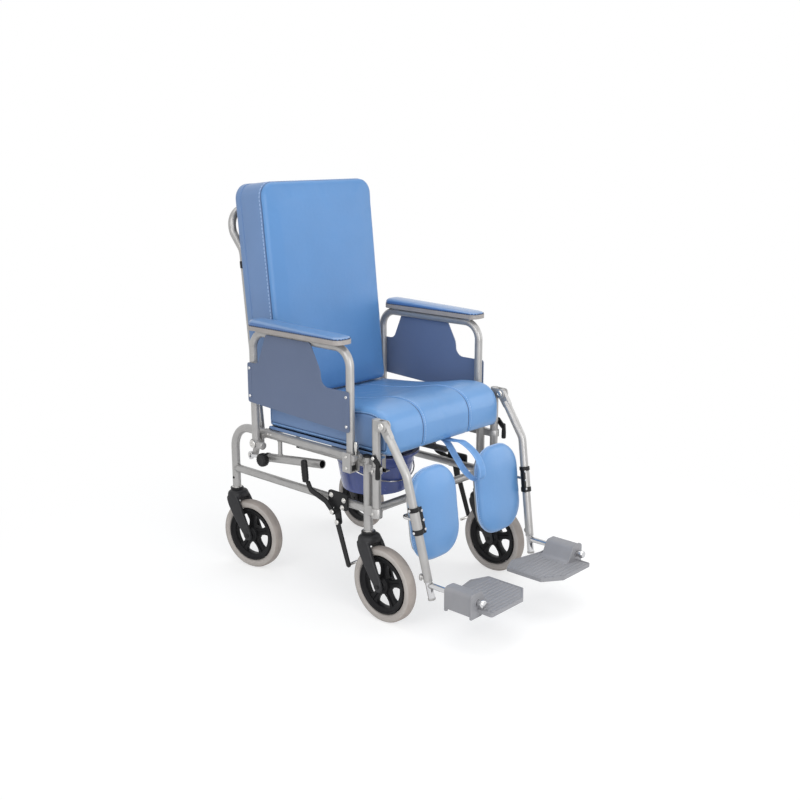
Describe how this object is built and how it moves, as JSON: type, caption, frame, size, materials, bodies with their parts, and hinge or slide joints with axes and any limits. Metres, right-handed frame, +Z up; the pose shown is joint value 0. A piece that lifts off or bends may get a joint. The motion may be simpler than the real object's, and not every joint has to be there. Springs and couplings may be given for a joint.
{
  "type": "reclining commode wheelchair",
  "caption": "Reclining transit wheelchair with padded seat, commode pail on runners, flip-back armrests, swing-away elevating legrests with calf pads and flip-up footplates, and push bar.",
  "frame": {"origin": "on the floor, under the middle of the part's box", "axes": "+Z up, -Y the way the chair faces, +X the sitter's left"},
  "size_m": [0.594, 0.967, 1.1019],
  "materials": {
    "silver_paint": "satin",
    "blue_vinyl": "satin",
    "blue_webbing": "matte",
    "panel_plastic": "matte",
    "black_plastic": "matte",
    "fork_plastic": "satin",
    "tyre_grey": "matte",
    "footplate_plastic": "matte",
    "bright_steel": "polished",
    "pail_plastic": "gloss",
    "board_laminate": "matte"
  },
  "bodies": {
    "frame": {"side_frame_right": "silver_paint", "side_frame_left": "silver_paint", "front_cross_tube": "silver_paint", "rear_cross_tube": "silver_paint", "seat_base": "board_laminate", "front_fork_right": "fork_plastic", "front_fork_left": "fork_plastic", "brake_bracket_right": "black_plastic", "brake_bracket_left": "black_plastic"},
    "seat": {"seat_cushion": "blue_vinyl", "seat_strap": "blue_webbing"},
    "pail": {"pail": "pail_plastic"},
    "bail": {"pail_bail": "bright_steel"},
    "backrest": {"backrest_post_right": "silver_paint", "backrest_post_left": "silver_paint", "push_bar": "silver_paint", "back_board": "black_plastic", "back_cushion": "blue_vinyl"},
    "recline_rod_right": {"recline_rod_right": "bright_steel"},
    "recline_rod_left": {"recline_rod_left": "bright_steel"},
    "recline_knob_right": {"recline_knob_right": "black_plastic"},
    "recline_knob_left": {"recline_knob_left": "black_plastic"},
    "armrest_right": {"armrest_tube_right": "silver_paint", "armrest_pad_right": "blue_vinyl", "side_panel_right": "panel_plastic"},
    "armrest_left": {"armrest_tube_left": "silver_paint", "armrest_pad_left": "blue_vinyl", "side_panel_left": "panel_plastic"},
    "armrest_latch_right": {"armrest_latch_right": "bright_steel"},
    "armrest_latch_left": {"armrest_latch_left": "bright_steel"},
    "legrest_post_right": {"legrest_post_right": "silver_paint"},
    "legrest_post_left": {"legrest_post_left": "silver_paint"},
    "legrest_hanger_right": {"legrest_hanger_right": "silver_paint", "calf_bracket_right": "black_plastic"},
    "legrest_hanger_left": {"legrest_hanger_left": "silver_paint", "calf_bracket_left": "black_plastic"},
    "legrest_lever_right": {"legrest_lever_right": "black_plastic"},
    "legrest_lever_left": {"legrest_lever_left": "black_plastic"},
    "calf_rest_right": {"calf_plate_right": "silver_paint", "calf_pad_right": "blue_vinyl"},
    "calf_rest_left": {"calf_plate_left": "silver_paint", "calf_pad_left": "blue_vinyl"},
    "footrest_right": {"footrest_tube_right": "silver_paint"},
    "footrest_left": {"footrest_tube_left": "silver_paint"},
    "footplate_right": {"footplate_right": "footplate_plastic"},
    "footplate_left": {"footplate_left": "footplate_plastic"},
    "rear_castor_right": {"rear_fork_right": "fork_plastic"},
    "rear_castor_left": {"rear_fork_left": "fork_plastic"},
    "front_wheel_right": {"front_rim_right": "black_plastic", "front_tyre_right": "tyre_grey"},
    "front_wheel_left": {"front_rim_left": "black_plastic", "front_tyre_left": "tyre_grey"},
    "rear_wheel_right": {"rear_rim_right": "black_plastic", "rear_tyre_right": "tyre_grey"},
    "rear_wheel_left": {"rear_rim_left": "black_plastic", "rear_tyre_left": "tyre_grey"},
    "brake_lever_right": {"brake_lever_right": "black_plastic"},
    "brake_lever_left": {"brake_lever_left": "black_plastic"},
    "brake_bar_right": {"brake_bar_right": "black_plastic"},
    "brake_bar_left": {"brake_bar_left": "black_plastic"}
  },
  "joints": [
    {"name": "rear_swivel_right", "type": "hinge", "parent": "frame", "child": "rear_castor_right", "pos_m": [-0.23, 0.43954, 0.2283], "axis": [0, 0, 1], "continuous": true},
    {"name": "rear_swivel_left", "type": "hinge", "parent": "frame", "child": "rear_castor_left", "pos_m": [0.23, 0.43954, 0.2283], "axis": [0, 0, 1], "continuous": true},
    {"name": "rear_wheel_spin_right", "type": "hinge", "parent": "rear_castor_right", "child": "rear_wheel_right", "pos_m": [-0.22069, 0.38331, 0.1], "axis": [0.9866, 0.1633, 0], "continuous": true},
    {"name": "rear_wheel_spin_left", "type": "hinge", "parent": "rear_castor_left", "child": "rear_wheel_left", "pos_m": [0.22404, 0.38285, 0.1], "axis": [0.9945, -0.1045, 0], "continuous": true},
    {"name": "front_wheel_spin_right", "type": "hinge", "parent": "frame", "child": "front_wheel_right", "pos_m": [-0.23, -0.14946, 0.1], "axis": [1, 0, 0], "continuous": true},
    {"name": "front_wheel_spin_left", "type": "hinge", "parent": "frame", "child": "front_wheel_left", "pos_m": [0.23, -0.14946, 0.1], "axis": [1, 0, 0], "continuous": true},
    {"name": "backrest_recline", "type": "hinge", "parent": "frame", "child": "backrest", "pos_m": [0, 0.35254, 0.4], "axis": [-1, 0, 0], "range_deg": [0, 50]},
    {"name": "recline_rod_slide_right", "type": "slide", "parent": "frame", "child": "recline_rod_right", "axis": [0, -0.9933, 0.1158], "range_m": [0, 0.05072]},
    {"name": "recline_rod_slide_left", "type": "slide", "parent": "frame", "child": "recline_rod_left", "axis": [0, -0.9933, 0.1158], "range_m": [0, 0.05072]},
    {"name": "recline_knob_turn_right", "type": "hinge", "parent": "frame", "child": "recline_knob_right", "pos_m": [-0.2423, 0.28568, 0.35022], "axis": [-1, 0, 0], "range_deg": [0, 180]},
    {"name": "recline_knob_turn_left", "type": "hinge", "parent": "frame", "child": "recline_knob_left", "pos_m": [0.2423, 0.28568, 0.35022], "axis": [1, 0, 0], "range_deg": [0, 180]},
    {"name": "armrest_flip_right", "type": "hinge", "parent": "frame", "child": "armrest_right", "pos_m": [-0.257, 0.31354, 0.393], "axis": [-1, 0, 0], "range_deg": [0, 100]},
    {"name": "armrest_flip_left", "type": "hinge", "parent": "frame", "child": "armrest_left", "pos_m": [0.257, 0.31354, 0.393], "axis": [-1, 0, 0], "range_deg": [0, 100]},
    {"name": "armrest_latch_tilt_right", "type": "hinge", "parent": "frame", "child": "armrest_latch_right", "pos_m": [-0.257, -0.07846, 0.43], "axis": [1, 0, 0], "range_deg": [0, 25], "stiffness_Nm_per_rad": 0.05},
    {"name": "armrest_latch_tilt_left", "type": "hinge", "parent": "frame", "child": "armrest_latch_left", "pos_m": [0.257, -0.07846, 0.43], "axis": [1, 0, 0], "range_deg": [0, 25], "stiffness_Nm_per_rad": 0.05},
    {"name": "legrest_swing_right", "type": "hinge", "parent": "frame", "child": "legrest_post_right", "pos_m": [-0.24, -0.13246, 0.285], "axis": [0, 0, -1], "range_deg": [0, 90]},
    {"name": "legrest_swing_left", "type": "hinge", "parent": "frame", "child": "legrest_post_left", "pos_m": [0.24, -0.13246, 0.285], "axis": [0, 0, 1], "range_deg": [0, 90]},
    {"name": "legrest_elevate_right", "type": "hinge", "parent": "legrest_post_right", "child": "legrest_hanger_right", "pos_m": [-0.24, -0.15746, 0.524], "axis": [-1, 0, 0], "range_deg": [0, 75]},
    {"name": "legrest_elevate_left", "type": "hinge", "parent": "legrest_post_left", "child": "legrest_hanger_left", "pos_m": [0.24, -0.15746, 0.524], "axis": [-1, 0, 0], "range_deg": [0, 75]},
    {"name": "legrest_lever_tilt_right", "type": "hinge", "parent": "legrest_post_right", "child": "legrest_lever_right", "pos_m": [-0.252, -0.13646, 0.44], "axis": [-1, 0, 0], "range_deg": [0, 20], "stiffness_Nm_per_rad": 0.1},
    {"name": "legrest_lever_tilt_left", "type": "hinge", "parent": "legrest_post_left", "child": "legrest_lever_left", "pos_m": [0.252, -0.13646, 0.44], "axis": [-1, 0, 0], "range_deg": [0, 20], "stiffness_Nm_per_rad": 0.1},
    {"name": "calf_tilt_right", "type": "hinge", "parent": "legrest_hanger_right", "child": "calf_rest_right", "pos_m": [-0.132, -0.20816, 0.297], "axis": [1, 0, 0], "range_deg": [-3, 14]},
    {"name": "calf_tilt_left", "type": "hinge", "parent": "legrest_hanger_left", "child": "calf_rest_left", "pos_m": [0.132, -0.20816, 0.297], "axis": [1, 0, 0], "range_deg": [-3, 14]},
    {"name": "footrest_slide_right", "type": "slide", "parent": "legrest_hanger_right", "child": "footrest_right", "axis": [0.0859, -0.1877, -0.9785], "range_m": [0, 0.05]},
    {"name": "footrest_slide_left", "type": "slide", "parent": "legrest_hanger_left", "child": "footrest_left", "axis": [-0.0859, -0.1877, -0.9785], "range_m": [0, 0.05]},
    {"name": "footplate_flip_right", "type": "hinge", "parent": "footrest_right", "child": "footplate_right", "pos_m": [-0.21369, -0.2856, 0.133], "axis": [0, -1, 0], "range_deg": [0, 90]},
    {"name": "footplate_flip_left", "type": "hinge", "parent": "footrest_left", "child": "footplate_left", "pos_m": [0.21369, -0.2856, 0.133], "axis": [0, 1, 0], "range_deg": [0, 90]},
    {"name": "brake_lever_turn_right", "type": "hinge", "parent": "frame", "child": "brake_lever_right", "pos_m": [-0.2537, 0.01154, 0.265], "axis": [1, 0, 0], "range_deg": [0, 45]},
    {"name": "brake_lever_turn_left", "type": "hinge", "parent": "frame", "child": "brake_lever_left", "pos_m": [0.2537, 0.01154, 0.265], "axis": [1, 0, 0], "range_deg": [0, 45]},
    {"name": "brake_bar_turn_right", "type": "hinge", "parent": "frame", "child": "brake_bar_right", "pos_m": [-0.248, 0.00054, 0.237], "axis": [1, 0, 0], "range_deg": [-5.4, 0]},
    {"name": "brake_bar_turn_left", "type": "hinge", "parent": "frame", "child": "brake_bar_left", "pos_m": [0.248, 0.00054, 0.237], "axis": [1, 0, 0], "range_deg": [-5.4, 0]},
    {"name": "seat_slide", "type": "slide", "parent": "frame", "child": "seat", "axis": [0, -1, 0], "range_m": [0, 0.2]},
    {"name": "pail_slide", "type": "slide", "parent": "frame", "child": "pail", "axis": [0, 1, 0], "range_m": [0, 0.4]},
    {"name": "bail_lift", "type": "hinge", "parent": "pail", "child": "bail", "pos_m": [0, 0.10254, 0.3446], "axis": [-1, 0, 0], "range_deg": [0, 30]}
  ],
  "couplings": [
    {"joint": "recline_rod_slide_right", "follows": "backrest_recline", "m_per_rad": 0.058114},
    {"joint": "recline_rod_slide_left", "follows": "backrest_recline", "m_per_rad": 0.058114},
    {"joint": "brake_bar_turn_right", "follows": "brake_lever_turn_right", "ratio": -0.12},
    {"joint": "brake_bar_turn_left", "follows": "brake_lever_turn_left", "ratio": -0.12}
  ]
}
